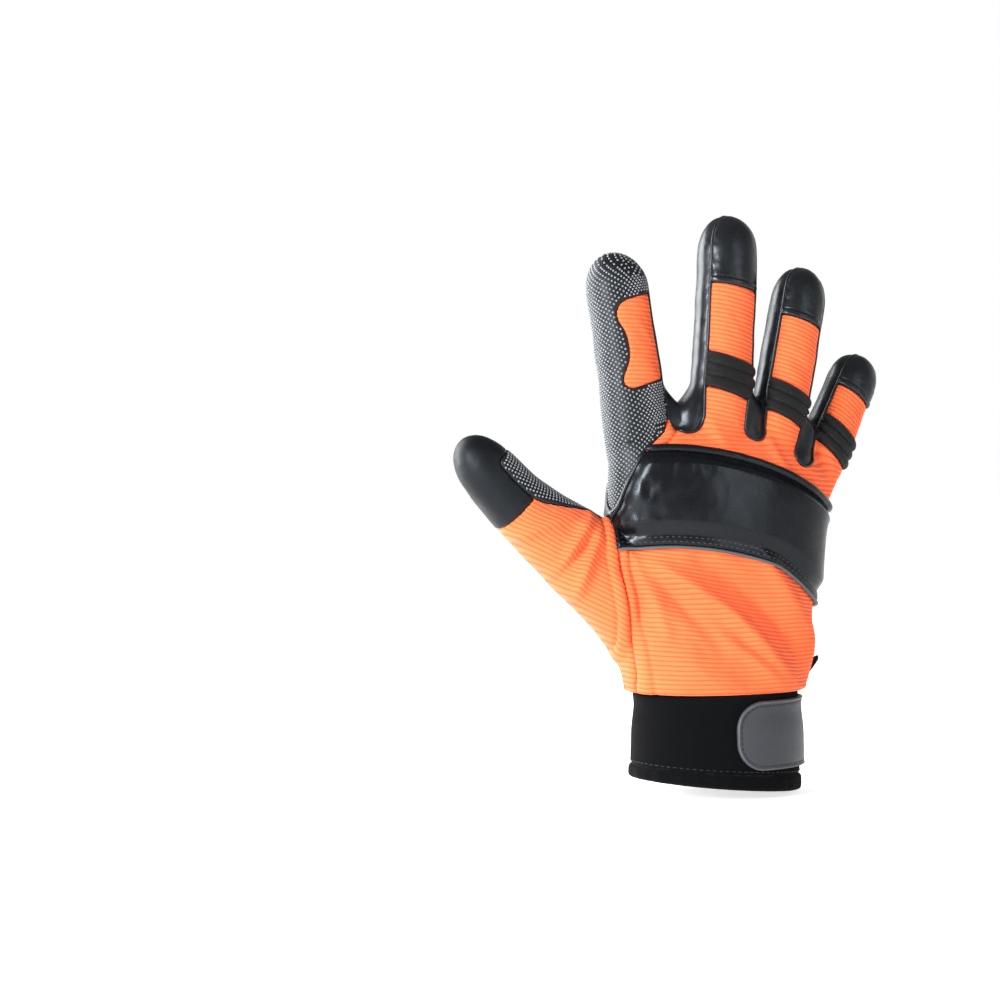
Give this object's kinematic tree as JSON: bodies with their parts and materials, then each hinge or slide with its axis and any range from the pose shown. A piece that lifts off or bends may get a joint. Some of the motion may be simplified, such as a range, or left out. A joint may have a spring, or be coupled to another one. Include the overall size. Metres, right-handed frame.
{
  "type": "impact glove",
  "caption": "Right-hand work glove with a padded knuckle guard, knit back, dotted grip palm, flex bands on the fingers and a strapped elastic cuff.",
  "frame": {"origin": "middle of the wrist opening, on the plane of the hem", "axes": "+Z from the hem towards the fingertips, -Y out of the back of the hand, +X towards the little finger"},
  "size_m": [0.1963, 0.062, 0.2481],
  "materials": {
    "knit": "matt corded knit, orange",
    "leather": "smooth soft synthetic leather, satin black",
    "grip": "black synthetic leather with small raised dots",
    "elastic": "matt black ribbed elastic",
    "neoprene": "matt black cloth-faced foam rubber",
    "guard_leather": "smooth padded synthetic leather, soft sheen",
    "tab_leather": "finely pebbled dark grey synthetic leather"
  },
  "bodies": {
    "root": {"back_panel": "knit", "thumb_panel": "knit", "palm_panel": "leather", "palm_grip": "grip", "index_sleeve": "grip", "index_panel": "knit", "middle_sleeve": "leather", "middle_panel": "knit", "middle_flex_band": "elastic", "middle_tip_cap": "leather", "middle_tip_grip": "grip", "ring_sleeve": "leather", "ring_panel": "knit", "ring_flex_band": "elastic", "ring_tip_cap": "leather", "ring_tip_grip": "grip", "little_sleeve": "leather", "little_panel": "knit", "little_flex_band": "elastic", "little_tip_cap": "leather", "little_tip_grip": "grip", "thumb_tip_cap": "leather", "index_middle_fork": "leather", "middle_ring_fork": "leather", "ring_little_fork": "leather", "knuckle_guard": "guard_leather", "guard_piping_top": "guard_leather", "guard_piping_bottom": "guard_leather", "cuff": "neoprene", "cuff_hem": "neoprene", "wrist_tab": "tab_leather", "vent_binding": "neoprene"}
  },
  "joints": []
}
